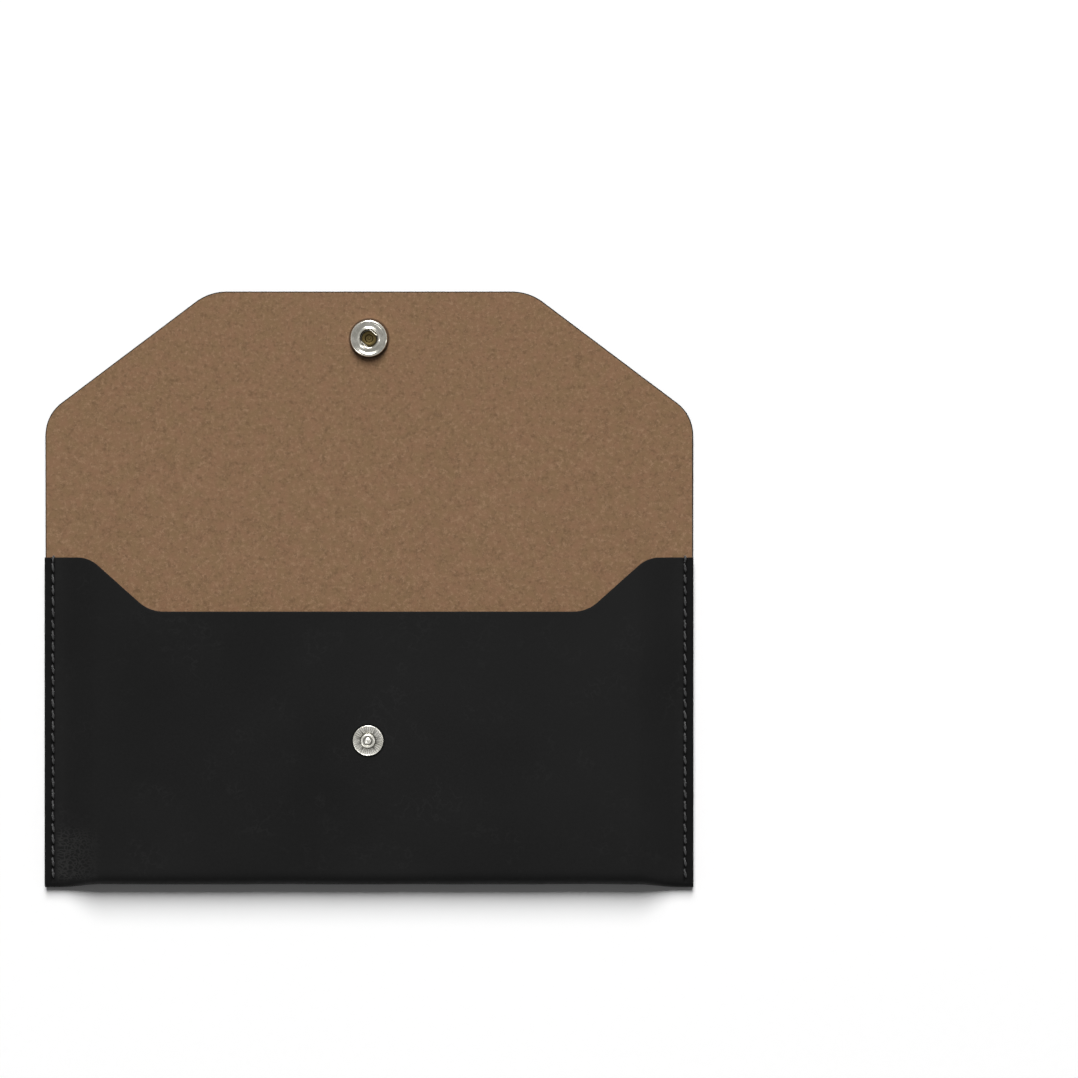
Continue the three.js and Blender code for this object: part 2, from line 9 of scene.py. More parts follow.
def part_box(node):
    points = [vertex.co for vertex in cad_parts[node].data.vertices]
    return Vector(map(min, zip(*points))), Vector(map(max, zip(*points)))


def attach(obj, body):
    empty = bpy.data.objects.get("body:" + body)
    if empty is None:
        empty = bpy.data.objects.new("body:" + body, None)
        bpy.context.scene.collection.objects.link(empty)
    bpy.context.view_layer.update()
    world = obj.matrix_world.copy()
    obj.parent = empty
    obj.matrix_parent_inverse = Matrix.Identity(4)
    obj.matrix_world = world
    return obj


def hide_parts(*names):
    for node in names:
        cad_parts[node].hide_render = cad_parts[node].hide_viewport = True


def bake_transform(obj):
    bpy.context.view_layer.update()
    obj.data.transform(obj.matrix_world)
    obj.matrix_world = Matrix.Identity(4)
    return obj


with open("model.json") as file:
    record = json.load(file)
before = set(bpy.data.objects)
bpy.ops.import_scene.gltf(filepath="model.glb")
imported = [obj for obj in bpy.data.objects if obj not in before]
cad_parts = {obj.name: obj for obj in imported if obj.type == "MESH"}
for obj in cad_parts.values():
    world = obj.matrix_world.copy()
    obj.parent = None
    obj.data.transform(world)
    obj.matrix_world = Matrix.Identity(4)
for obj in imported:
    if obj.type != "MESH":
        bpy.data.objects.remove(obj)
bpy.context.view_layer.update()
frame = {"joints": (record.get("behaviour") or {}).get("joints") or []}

mm = 0.001


# Places from the frame

def jointAt(name):
    return Vector(next(joint["pos_m"] for joint in frame["joints"] if joint["name"] == name))


pocketLow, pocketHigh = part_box("pocket_shell")
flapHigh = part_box("flap_shell")[1]
studLow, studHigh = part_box("snap_stud")
pocketCrease = jointAt("pocket_crease")
flapCrease = jointAt("flap_crease")

sheet = {
    "shell": 0.8 * mm,       # black layer
    "glue": 0.02 * mm,
    "lining": 0.38 * mm,     # brown layer
    "inset": 0.3 * mm,       # lining short of the cut edges
    "shellEdge": 0.14 * mm,  # rounding of the cut edges
    "liningEdge": 0.08 * mm,
}
sheetThick = sheet["shell"] + sheet["glue"] + sheet["lining"]
halfWidth = pocketHigh.x
bottomY = pocketLow.y
frontFace = pocketHigh.z

# The strip and the flap lie in one plane that starts at the first crease
along = (flapCrease - pocketCrease).normalized()
upward = Vector((0, -along.z, along.y))
stripWidth = (flapCrease - pocketCrease).length
middleOfStrip = stripWidth / 2
flapLength = (flapHigh.y - flapCrease.y) / along.y

pocket = {
    "frontHeight": 89.6 * mm,
    "backHeight": 90 * mm,       # up to the first crease
    "foldLength": 2 * mm,        # what the bottom fold adds to the flat sheet
    "seamClearance": 0.2 * mm,
    "seamMargin": 3.8 * mm,
    "puffRise": 12 * mm,
    "bottomPull": 1.0 * mm,
    "bottomWave": 0.22 * mm,     # uneven bottom fold
    "sag": 0.09 * mm,            # slow unevenness of the panels
    "sagSize": 26 * mm,
    "mouthTop": 75.4 * mm,       # half width of the scoop at the shoulders
    "mouthFloor": 59.1 * mm,     # and at its floor
    "mouthDepth": 14.6 * mm,
    "shoulderRound": 8.8 * mm,
    "floorRound": 10 * mm,
    "foldRows": 14,
    "stripRows": (1, 0.8, 0.6, 0.42, 0.28, 0.17, 0.08, 0.02),   # shares of the half strip
    "columnGap": 0.22 * mm,      # closest columns
    "middleColumn": 3 * mm,
}
seamFace = 2 * sheetThick + pocket["seamClearance"]
mouthTopY = bottomY + pocket["frontHeight"]

stitching = {
    "inset": 2.3 * mm,
    "firstHole": 1.2 * mm,
    "lastHole": 2.4 * mm,
    "count": 28,
    "grooveFront": 0.3 * mm,
    "grooveBack": 0.5 * mm,
    "grooveHalf": 0.26 * mm,     # flat floor of the groove
    "grooveSlope": 0.2 * mm,
    "grooveOverrun": 0.7 * mm,
    "hole": 0.3 * mm,            # dent that the thread dives into
    "holeReach": 0.42 * mm,
    "pucker": 0.06 * mm,         # sheet drawn down at each hole
    "puckerReach": 1.5 * mm,
    "columns": (-1.5, -1, -0.7, -0.46, -0.26, 0, 0.26, 0.46, 0.7, 1, 1.5),  # mm from the seam
    "frontRows": (0, 0.1, 0.26, 0.5, 0.74, 0.9),   # shares of a stitch
    "backRows": (0, 0.16, 0.5, 0.84),
}
seamX = halfWidth - stitching["inset"]
stitchTop = mouthTopY - stitching["firstHole"]
stitchBottom = bottomY + stitching["lastHole"]
stitchLength = (stitchTop - stitchBottom) / stitching["count"]

flap = {
    "sideLength": 29 * mm,
    "tipHalfWidth": 43.4 * mm,
    "sideRound": 11 * mm,
    "tipRound": 14 * mm,
    "rowGap": 1.6 * mm,
    "creaseRows": (-1.5, -0.9, -0.45, 0, 0.45, 0.9, 1.5),   # mm from the second crease
    "columns": 110,
    "sag": 0.05 * mm,
}


# Small helpers

def lerp(a, b, share):
    return a + (b - a) * share


def clamp(value, low=0.0, high=1.0):
    return max(low, min(high, value))


def smoothStep(value):
    share = clamp(value)
    return share * share * (3 - 2 * share)


def deselectAll():
    if bpy.context.mode != "OBJECT":
        bpy.ops.object.mode_set(mode="OBJECT")
    bpy.ops.object.select_all(action="DESELECT")


def makeActive(piece):
    deselectAll()
    piece.select_set(True)
    bpy.context.view_layer.objects.active = piece


def roundedCorner(before, corner, after, radius, steps=12):
    # points of the arc that rounds a corner of an outline
    corner = Vector(corner)
    toBefore = (Vector(before) - corner).normalized()
    toAfter = (Vector(after) - corner).normalized()
    halfAngle = toBefore.angle(toAfter) / 2
    middle = (toBefore + toAfter).normalized()
    centre = corner + middle * radius / math.sin(halfAngle)
    reach = math.pi / 2 - halfAngle
    if toBefore.cross(toAfter) < 0:
        reach = -reach
    away = -middle * radius
    points = []
    for step in range(steps + 1):
        angle = lerp(reach, -reach, step / steps)
        turned = Vector((
            away.x * math.cos(angle) - away.y * math.sin(angle),
            away.x * math.sin(angle) + away.y * math.cos(angle),
        ))
        points.append(centre + turned)
    return points


def subdivided(points, gap):
    # the same line with no two neighbours further apart than gap
    line = [points[0]]
    for a, b in zip(points, points[1:]):
        pieces = max(1, math.ceil((b - a).length / gap))
        line += [a.lerp(b, (step + 1) / pieces) for step in range(pieces)]
    return line


def insetLine(points, distance):
    # the line moved to its right, with both ends kept square
    moved = []
    for index, point in enumerate(points):
        before = points[max(index - 1, 0)]
        after = points[min(index + 1, len(points) - 1)]
        ahead = (after - before).normalized()
        moved.append(point + Vector((ahead.y, -ahead.x)) * distance)
    return moved


def heightAt(line, x):
    # y of a line that runs towards +X
    for a, b in zip(line, line[1:]):
        if x <= b.x:
            return lerp(a.y, b.y, clamp((x - a.x) / max(b.x - a.x, 1e-9)))
    return line[-1].y


# Makes a closed sheet with rounded cut edges. place(row, column, depth, inset) gives its points:
# depth is measured from the outer face, and inset from the cut edges.

def closedSheet(name, rows, columns, place, depths, inset, edgeRound, roundSteps=3):
    stations = []
    for step in range(roundSteps + 1):
        angle = math.pi / 2 * step / roundSteps
        stations.append((edgeRound * (1 - math.cos(angle)), inset + edgeRound * (1 - math.sin(angle))))
    outerDepth, innerDepth = depths
    loops = [(outerDepth + down, reach) for down, reach in stations]
    loops += [(innerDepth - down, reach) for down, reach in reversed(stations)]
    rim = [(0, column) for column in range(columns)]
    rim += [(row, columns - 1) for row in range(1, rows)]
    rim += [(rows - 1, column) for column in range(columns - 2, -1, -1)]
    rim += [(row, 0) for row in range(rows - 2, 0, -1)]
    points = []
    faces = []
    faceLoops = []
    for depth, reach in (loops[0], loops[-1]):
        first = len(points)
        points += [place(row, column, depth, reach) for row in range(rows) for column in range(columns)]
        for row in range(rows - 1):
            for column in range(columns - 1):
                corner = first + row * columns + column
                quad = (corner, corner + 1, corner + columns + 1, corner + columns)
                faces.append(quad if first == 0 else quad[::-1])
        faceLoops.append([first + row * columns + column for row, column in rim])
    rings = [faceLoops[0]]
    for depth, reach in loops[1:-1]:
        rings.append(list(range(len(points), len(points) + len(rim))))
        points += [place(row, column, depth, reach) for row, column in rim]
    rings.append(faceLoops[1])
    for ring, nextRing in zip(rings, rings[1:]):
        for index in range(len(rim)):
            after = (index + 1) % len(rim)
            faces.append((ring[after], ring[index], nextRing[index], nextRing[after]))
    mesh = bpy.data.meshes.new(name)
    mesh.from_pydata(points, [], faces)
    piece = bpy.data.objects.new(name, mesh)
    bpy.context.scene.collection.objects.link(piece)
    makeActive(piece)
    bpy.ops.object.mode_set(mode="EDIT")
    bpy.ops.mesh.select_all(action="SELECT")
    bpy.ops.mesh.normals_make_consistent(inside=False)
    bpy.ops.object.mode_set(mode="OBJECT")
    bpy.ops.object.shade_smooth_by_angle(angle=math.radians(40))
    return piece


# Pocket: one folded sheet, built row by row from the middle of the strip, down the back panel,
# round the bottom fold and up the front panel

def fullness(x):
    share = (halfWidth - pocket["seamMargin"] - abs(x)) / pocket["puffRise"]
    return (1 - math.cos(math.pi * clamp(share))) / 2


def panelHeight(x):
    return lerp(seamFace, frontFace, fullness(x))


def foldStart(x):
    # where the panels end and the bottom fold begins
    wave = noise.noise(Vector((x / pocket["sagSize"], 0.7, 0.2))) * pocket["bottomWave"]
    return bottomY + pocket["bottomPull"] * fullness(x) + panelHeight(x) / 2 + max(wave, -wave / 2)


def sagAt(x, y, amount):
    place = Vector((x, y, 0.013)) / pocket["sagSize"]
    return amount * (noise.noise(place) + 0.5 * noise.noise(place * 2.7))


def seamDent(x, y, grooveDepth):
    # how far the outer face is pressed in beside and under the stitches
    across = abs(abs(x) - seamX)
    if across > stitching["puckerReach"] * 2:
        return 0
    low = stitchBottom - stitching["grooveOverrun"]
    high = stitchTop + stitching["grooveOverrun"]
    slope = stitching["grooveSlope"]
    inGroove = smoothStep((stitching["grooveHalf"] + slope - across) / slope)
    inGroove *= smoothStep(1 + (y - low) / slope)
    inGroove *= smoothStep(1 + (high - y) / slope)
    toHole = abs((stitchTop - y + stitchLength / 2) % stitchLength - stitchLength / 2)
    if y < stitchBottom - stitchLength / 2 or y > stitchTop + stitchLength / 2:
        return grooveDepth * inGroove
    hole = math.exp(-(across ** 2 + toHole ** 2) / (stitching["holeReach"] / 1.5) ** 2)
    drawn = math.exp(-(across / stitching["puckerReach"]) ** 2) * math.exp(-(toHole / stitchLength * 3) ** 2)
    return max(grooveDepth * inGroove, stitching["pucker"] * drawn) + stitching["hole"] * hole


def mouthLine(inset):
    floorY = mouthTopY - pocket["mouthDepth"]
    corners = [
        (0, floorY), (pocket["mouthFloor"], floorY), (pocket["mouthTop"], mouthTopY), (halfWidth, mouthTopY),
    ]
    line = [Vector(corners[0])]
    line += roundedCorner(*corners[0:3], pocket["floorRound"])
    line += roundedCorner(*corners[1:4], pocket["shoulderRound"])
    line.append(Vector(corners[3]))
    return insetLine(line, inset)


def pocketColumns():
    # from the middle to the right edge, close together where the form turns, then mirrored
    places = [halfWidth] + [seamX + offset * mm for offset in stitching["columns"]]
    places += [halfWidth - pocket["seamMargin"] - step * mm for step in range(0, 14)]
    places += [point.x for point in mouthLine(0) if point.x < seamX - 2 * mm]
    x = 0
    while x < pocket["mouthFloor"] - pocket["floorRound"]:
        places.append(x)
        x += pocket["middleColumn"]
    kept = [0]
    for x in sorted(places):
        if x - kept[-1] > pocket["columnGap"]:
            kept.append(x)
    return [-x for x in reversed(kept[1:])] + kept


def panelShares(rowShares, foldY, topY):
    # rows that keep step with the stitches, as shares of a panel's height at the seam
    rows = [foldY]
    for stitch in range(stitching["count"], 0, -1):
        start = stitchTop - stitch * stitchLength
        rows += [start + share * stitchLength for share in rowShares]
    rows += [stitchTop, stitchTop + 0.4 * mm, stitchTop + 0.8 * mm, topY]
    return [(row - foldY) / (topY - foldY) for row in rows if foldY <= row <= topY]


def pocketRows():
    foldY = foldStart(seamX)
    rows = [("strip", share) for share in pocket["stripRows"]]
    backShares = panelShares(stitching["backRows"], foldY, pocketCrease.y)
    rows += [("back", share) for share in reversed(backShares[1:])]
    rows += [("fold", step / pocket["foldRows"]) for step in range(pocket["foldRows"] + 1)]
    rows += [("front", share) for share in panelShares(stitching["frontRows"], foldY, mouthTopY)[1:]]
    return rows


def makePocketLayer(name, depths, inset, edgeRound, dented):
    columns = pocketColumns()
    rows = pocketRows()
    lines = {}

    def place(row, column, depth, reach):
        if reach not in lines:
            lines[reach] = mouthLine(reach)
        panel, share = rows[row]
        x = clamp(columns[column], reach - halfWidth, halfWidth - reach)
        if panel == "strip":
            onStrip = pocketCrease + along * middleOfStrip * share
            return onStrip + upward * (depth - sheetThick) + Vector((x, 0, 0))
        pressed = 1 - clamp(depth / sheet["shell"]) if dented else 0
        if panel == "back":
            y = lerp(foldStart(x), pocketCrease.y, share)
            return Vector((x, y, depth + pressed * seamDent(x, y, stitching["grooveBack"])))
        height = panelHeight(x)
        if panel == "fold":
            angle = math.pi * share
            radius = height / 2 - depth
            y = foldStart(x) - radius * math.sin(angle)
            return Vector((x, y, height / 2 - radius * math.cos(angle)))
        y = lerp(foldStart(x), heightAt(lines[reach], abs(x)), share)
        sag = sagAt(x, y, pocket["sag"] * fullness(x) * smoothStep(share * 6))
        return Vector((x, y, height - depth - pressed * seamDent(x, y, stitching["grooveFront"]) + sag))

    return closedSheet(name, len(rows), len(columns), place, depths, inset, edgeRound)


# Flap: a flat sheet from the middle of the strip to the tip

def flapLine():
    tip = stripWidth + flapLength
    side = stripWidth + flap["sideLength"]
    corners = [(-halfWidth, middleOfStrip), (-halfWidth, side), (-flap["tipHalfWidth"], tip), (0, tip)]
    line = [Vector(corners[0])]
    line += [Vector((-halfWidth, stripWidth + step * mm)) for step in flap["creaseRows"]]
    line += roundedCorner(*corners[0:3], flap["sideRound"])
    line += roundedCorner(*corners[1:4], flap["tipRound"], 20)
    return subdivided(line, flap["rowGap"])


def makeFlapLayer(name, depths, inset, edgeRound):
    line = flapLine()
    lines = {}

    def place(row, column, depth, reach):
        if reach not in lines:
            lines[reach] = insetLine(line, reach)
        point = lines[reach][row]
        x = point.x * math.cos(math.pi * column / (flap["columns"] - 1))
        sag = sagAt(x, point.y + 0.5, flap["sag"] * smoothStep((point.y - stripWidth) / 0.02))
        return pocketCrease + along * point.y + upward * (depth - sheetThick + sag) + Vector((x, 0, 0))

    return closedSheet(name, len(line), flap["columns"], place, depths, inset, edgeRound)


outerLayer = (0, sheet["shell"])
innerLayer = (sheet["shell"] + sheet["glue"], sheetThick)
pocketSkin = makePocketLayer("pocket_skin", outerLayer, 0, sheet["shellEdge"], True)
pocketInside = makePocketLayer("pocket_inside", innerLayer, sheet["inset"], sheet["liningEdge"], False)
flapSkin = makeFlapLayer("flap_skin", outerLayer, 0, sheet["shellEdge"])
flapInside = makeFlapLayer("flap_inside", innerLayer, sheet["inset"], sheet["liningEdge"])
print("sheets made")


# Snap: each piece is a circle grown ring by ring

def growRings(name, rings, centre, segments=96, smoothAngle=38):
    deselectAll()
    radius, height = rings[0]
    bpy.ops.mesh.primitive_circle_add(
        vertices=segments, radius=radius, fill_type="NOTHING", location=centre + Vector((0, 0, height))
    )
    piece = bpy.context.object
    piece.name = name
    bpy.ops.object.mode_set(mode="EDIT")
    bpy.ops.mesh.select_mode(type="VERT")
    bpy.ops.mesh.select_all(action="SELECT")
    for nextRadius, nextHeight in rings[1:]:
        bpy.ops.mesh.extrude_region_move(TRANSFORM_OT_translate={"value": (0, 0, nextHeight - height)})
        share = nextRadius / radius
        bpy.ops.transform.resize(
            value=(share, share, 1), center_override=centre + Vector((0, 0, nextHeight))
        )
        radius, height = nextRadius, nextHeight
    bpy.ops.mesh.select_all(action="SELECT")
    bpy.ops.mesh.remove_doubles(threshold=1e-6)
    bpy.ops.mesh.fill_holes(sides=0)
    bpy.ops.mesh.normals_make_consistent(inside=False)
    bpy.ops.object.mode_set(mode="OBJECT")
    bpy.ops.object.transform_apply(location=True, rotation=True, scale=True)
    bpy.ops.object.shade_smooth_by_angle(angle=math.radians(smoothAngle))
    return piece


def arc(radius, centreRadius, centreHeight, start, end, steps=5):
    # rings of a rounded edge, from one angle to another in degrees
    rings = []
    for step in range(steps + 1):
        angle = math.radians(lerp(start, end, step / steps))
        rings.append((centreRadius + radius * math.cos(angle), centreHeight + radius * math.sin(angle)))
    return rings


def selectFaces(piece, wanted):
    makeActive(piece)
    bpy.ops.object.mode_set(mode="EDIT")
    bpy.ops.mesh.select_mode(type="FACE")
    bpy.ops.mesh.select_all(action="DESELECT")
    bpy.ops.object.mode_set(mode="OBJECT")
    for face in piece.data.polygons:
        face.select = wanted(face)
    bpy.ops.object.mode_set(mode="EDIT")


stud = {
    "radius": 4.1 * mm,
    "base": 0.5 * mm,
    "rim": 0.3 * mm,
    "rimRise": 0.16 * mm,
    "groove": 0.16 * mm,         # depth of the groove round the neck
    "neck": 1.7 * mm,
    "neckHeight": 0.72 * mm,
    "knob": 1.95 * mm,
    "knobHeight": 1.6 * mm,
    "knobRound": 0.38 * mm,
    "dimple": 0.75 * mm,         # small dome in the middle of the knob
    "dimpleDepth": 0.26 * mm,    # valley round it
    "ribs": 36,
    "ribStart": 2.25 * mm,
    "ribRise": 0.14 * mm,
    "bore": 1.25 * mm,
}
studCentre = Vector((0, (studLow.y + studHigh.y) / 2, frontFace))


def makeStud():
    seat = sheet["glue"]
    rimTop = seat + stud["base"]
    ringTop = rimTop - stud["rimRise"]
    neckTop = rimTop + stud["neckHeight"]
    knobTop = seat + stud["base"] + stud["knobHeight"]
    rimRound = stud["rim"] / 2
    rimInside = stud["radius"] - stud["rim"]
    rings = [(stud["bore"], seat), (stud["radius"] - 0.1 * mm, seat), (stud["radius"], seat + 0.1 * mm)]
    rings += arc(rimRound, stud["radius"] - rimRound, rimTop - rimRound, 0, 180, 8)
    rings += [(rimInside - 0.05 * mm, ringTop), (stud["ribStart"], ringTop)]
    grooveFloor = ringTop - stud["groove"]
    rings += [(stud["ribStart"] - 0.18 * mm, grooveFloor), (stud["neck"] + 0.06 * mm, grooveFloor)]
    rings += [(stud["neck"], ringTop), (stud["neck"], neckTop)]
    knobRound = stud["knobRound"]
    rings += arc(knobRound, stud["knob"] - knobRound, knobTop - knobRound, -60, 84, 8)
    valley = knobTop - stud["dimpleDepth"]
    rings += [(1.34 * mm, knobTop - 0.06 * mm), (1.2 * mm, valley), (stud["dimple"] + 0.12 * mm, valley)]
    rings += [(stud["dimple"], valley + 0.08 * mm), (stud["dimple"] * 0.75, knobTop - 0.06 * mm)]
    rings += [(stud["dimple"] * 0.45, knobTop - 0.01 * mm), (stud["dimple"] * 0.1, knobTop)]
    piece = growRings("stud_ribbed", rings, studCentre, stud["ribs"] * 4)

    def onRib(face):
        middle = face.center - studCentre
        radius = math.hypot(middle.x, middle.y)
        turn = math.atan2(middle.y, middle.x) / (2 * math.pi) % 1
        level = abs(middle.z - ringTop) < 0.02 * mm
        return level and stud["ribStart"] < radius < rimInside and int(turn * stud["ribs"] * 4) % 4 < 2

    selectFaces(piece, onRib)
    bpy.ops.mesh.extrude_region_move(TRANSFORM_OT_translate={"value": (0, 0, stud["ribRise"])})
    bpy.ops.object.mode_set(mode="OBJECT")
    bpy.ops.object.shade_smooth_by_angle(angle=math.radians(38))
    return piece


socket = {
    "radius": 5.1 * mm,
    "height": 2.3 * mm,
    "wall": 0.3 * mm,
    "mouth": 2.35 * mm,
    "lip": 2.72 * mm,
    "lipRound": 0.24 * mm,
    "ringDip": 0.24 * mm,
    "shoulder": 0.55 * mm,
    "hole": 1.6 * mm,
    "wire": 0.2 * mm,
    "opening": 3.7 * mm,
    "turn": 50,
}
socketCentre = flapCrease + along * (flapLength - 12.8 * mm)


def makeSocket():
    foot = sheet["glue"]
    top = foot + socket["height"]
    ring = top - socket["ringDip"]
    wall = socket["wall"]
    shoulder = socket["shoulder"]
    rings = [(socket["hole"], foot), (socket["radius"] - 0.12 * mm, foot)]
    rings += arc(0.12 * mm, socket["radius"] - 0.12 * mm, foot + 0.12 * mm, -60, 0, 2)
    inside = socket["radius"] - shoulder
    rings += arc(shoulder, inside - 0.06 * mm, top - 0.05 * mm - shoulder, 8, 96, 10)
    rings += [(inside - 0.42 * mm, ring + 0.1 * mm), (inside - 0.7 * mm, ring)]
    rings += [(socket["lip"] + 0.5 * mm, ring), (socket["lip"] + 0.3 * mm, ring + 0.04 * mm)]
    rings += arc(socket["lipRound"], socket["lip"] - 0.02 * mm, top - socket["lipRound"], 40, 180, 9)
    rings += [(socket["mouth"], ring - wall * 0.7), (socket["mouth"] + 0.1 * mm, ring - wall)]
    rings += [(socket["radius"] - 3 * wall, ring - wall), (socket["radius"] - 2 * wall, foot + 1.2 * mm)]
    rings += [(socket["radius"] - 2 * wall, foot + wall), (socket["hole"], foot + wall)]
    rings += [(socket["hole"], foot)]
    return growRings("socket_ring", rings, socketCentre)


cap = {
    "radius": 4.1 * mm,
    "height": 0.6 * mm,
    "edgeRound": 0.3 * mm,
    "post": 1.5 * mm,
    "bore": 1.05 * mm,
    "flare": 2.15 * mm,
    "flareHeight": 0.34 * mm,
    "well": 0.1 * mm,        # floor of the bore, above the lining
}


def makeCap():
    outside = -sheetThick
    face = outside - cap["height"]
    flareBottom = sheet["glue"] * 2 + socket["wall"]
    curl = cap["flareHeight"] / 2
    rings = [(0.1 * mm, face), (2.4 * mm, face)]
    rings += arc(cap["edgeRound"], cap["radius"] - cap["edgeRound"], face + cap["edgeRound"], -90, 0, 6)
    rings += [(cap["radius"], outside - 0.12 * mm), (cap["radius"] - 0.1 * mm, outside - sheet["glue"])]
    rings += [(cap["post"], outside - sheet["glue"]), (cap["post"], flareBottom)]
    rings += arc(curl, cap["flare"] - curl, flareBottom + curl, -90, 90, 6)
    rings += [(cap["post"], flareBottom + 2 * curl), (cap["bore"] + 0.12 * mm, flareBottom + 1.6 * curl)]
    well = cap["well"]
    rings += [(cap["bore"], flareBottom), (cap["bore"] - 0.15 * mm, well), (0.4 * mm, well - 0.04 * mm)]
    rings += [(0.28 * mm, well + 0.12 * mm), (0.08 * mm, well + 0.16 * mm)]
    return growRings("cap_riveted", rings, socketCentre)


post = {"radius": 1.15 * mm, "flange": 3.6 * mm, "flangeHeight": 0.3 * mm, "reach": 0.9 * mm}


def makePost():
    seat = -sheetThick - sheet["glue"]
    edge = post["flangeHeight"] / 2
    rings = [(0.6 * mm, seat - post["flangeHeight"] + 0.1 * mm), (0.75 * mm, seat - post["flangeHeight"])]
    rings += arc(edge, post["flange"] - edge, seat - edge, -90, 60, 6)
    rings += [(post["radius"] + 0.1 * mm, seat), (post["radius"], seat + 0.1 * mm)]
    rings += [(post["radius"], post["reach"]), (0.2 * mm, post["reach"])]
    return growRings("post_flanged", rings, studCentre)


def wireAlong(name, points, radius, sides=3):
    # a wire or thread swept along points, as a mesh
    path = bpy.data.curves.new(name, "CURVE")
    path.dimensions = "3D"
    path.bevel_depth = radius
    path.bevel_resolution = sides
    path.use_fill_caps = True
    spline = path.splines.new("POLY")
    spline.points.add(len(points) - 1)
    for point, place in zip(spline.points, points):
        point.co = (*place, 1)
    piece = bpy.data.objects.new(name, path)
    bpy.context.scene.collection.objects.link(piece)
    makeActive(piece)
    bpy.ops.object.convert(target="MESH")
    piece = bpy.context.object
    bpy.ops.object.shade_smooth_by_angle(angle=math.radians(50))
    return piece


def makeSpring():
    # a hairpin: down one side of the mouth, round the wall, back along the other side
    leg = socket["opening"] / 2 + socket["wire"]
    bend = socket["radius"] - 3 * socket["wall"] - socket["wire"] - 0.1 * mm
    legEnd = math.sqrt(bend ** 2 - leg ** 2)
    startAngle = math.atan2(legEnd, leg)
    z = socket["height"] - socket["ringDip"] - socket["wall"] - socket["wire"]
    points = [Vector((leg, lerp(-legEnd, legEnd * 0.86, step / 8), z)) for step in range(9)]
    for step in range(1, 24):
        angle = lerp(startAngle, math.pi - startAngle, step / 24)
        points.append(Vector((bend * math.cos(angle), bend * math.sin(angle), z)))
    points += [Vector((-leg, lerp(legEnd * 0.86, -legEnd, step / 8), z)) for step in range(9)]
    turn = Matrix.Translation(socketCentre) @ Matrix.Rotation(math.radians(socket["turn"]), 4, "Z")
    return wireAlong("spring_wire", [turn @ point for point in points], socket["wire"], 4)


def leanWithFlap(piece):
    lean = Matrix.Rotation(math.atan2(along.z, along.y), 4, "X")
    piece.data.transform(Matrix.Translation(socketCentre) @ lean @ Matrix.Translation(-socketCentre))


studPiece = makeStud()
postPiece = makePost()
socketPiece = makeSocket()
springPiece = makeSpring()
capPiece = makeCap()
for piece in (socketPiece, springPiece, capPiece):
    leanWithFlap(piece)
print("snap made")


# Side seams: one twisted stitch, copied along each side of each seam

thread = {
    "radius": 0.29 * mm,
    "waist": 0.6,            # share of the radius left at a hole
    "ply": 0.2,              # how oval the two plies are together
    "twist": 36,             # degrees from ring to ring
    "dip": 0.55 * mm,
    "reach": 0.9,            # share of a stitch's length that lies between the holes
    "rings": 9,
    "slant": 10,
    "slantSpread": 5,
    "frontZ": seamFace - stitching["grooveFront"] + 0.26 * mm,
    "backZ": stitching["grooveBack"] - 0.27 * mm,
}


def makeStitch():
    deselectAll()
    reach = stitchLength * thread["reach"]
    bpy.ops.mesh.primitive_circle_add(
        vertices=8, radius=thread["radius"] * thread["waist"], location=(0, 0, 0)
    )
    stitch = bpy.context.object
    bpy.ops.object.mode_set(mode="EDIT")
    bpy.ops.mesh.select_mode(type="VERT")
    bpy.ops.mesh.select_all(action="SELECT")
    bpy.ops.transform.resize(value=(1 + thread["ply"], 1 - thread["ply"], 1), center_override=(0, 0, 0))
    width, drop = thread["waist"], 0
    for ring in range(1, thread["rings"]):
        share = ring / (thread["rings"] - 1)
        full = math.sin(math.pi * share) ** 0.7 if share < 1 else 0
        nextWidth = lerp(thread["waist"], 1, full)
        nextDrop = thread["dip"] * full
        step = reach / (thread["rings"] - 1)
        centre = (0, nextDrop, reach * share)
        bpy.ops.mesh.extrude_region_move(TRANSFORM_OT_translate={"value": (0, nextDrop - drop, step)})
        bpy.ops.transform.resize(value=(nextWidth / width, nextWidth / width, 1), center_override=centre)
        bpy.ops.transform.rotate(
            value=math.radians(thread["twist"]), orient_axis="Z", center_override=centre
        )
        width, drop = nextWidth, nextDrop
    bpy.ops.mesh.select_all(action="SELECT")
    bpy.ops.mesh.fill_holes(sides=0)
    bpy.ops.mesh.normals_make_consistent(inside=False)
    bpy.ops.object.mode_set(mode="OBJECT")
    bpy.ops.object.shade_smooth_by_angle(angle=math.radians(60))
    # laid down along Y with its middle at the origin, the ends dipping towards -Z
    lay = Matrix.Rotation(math.radians(90), 4, "X") @ Matrix.Translation((0, -thread["dip"], -reach / 2))
    stitch.data.transform(lay)
    return stitch


def overShoulder(side):
    # the last turn of the thread, over the cut edge of the front panel
    x = side * seamX
    top = seamFace + thread["radius"]
    points = [
        Vector((x, stitchTop, thread["frontZ"] - 0.3 * mm)),
        Vector((x + 0.03 * mm, stitchTop + 0.2 * mm, thread["frontZ"])),
        Vector((x + 0.06 * mm, stitchTop + 0.7 * mm, top - 0.02 * mm)),
        Vector((x + 0.08 * mm, mouthTopY + 0.02 * mm, top - 0.08 * mm)),
        Vector((x + 0.08 * mm, mouthTopY + 0.26 * mm, top - 0.4 * mm)),
        Vector((x + 0.06 * mm, mouthTopY + 0.28 * mm, seamFace - sheetThick)),
        Vector((x + 0.02 * mm, mouthTopY + 0.12 * mm, sheetThick + 0.05 * mm)),
    ]
    return wireAlong("shoulder_turn", points, thread["radius"] * 0.9, 2)


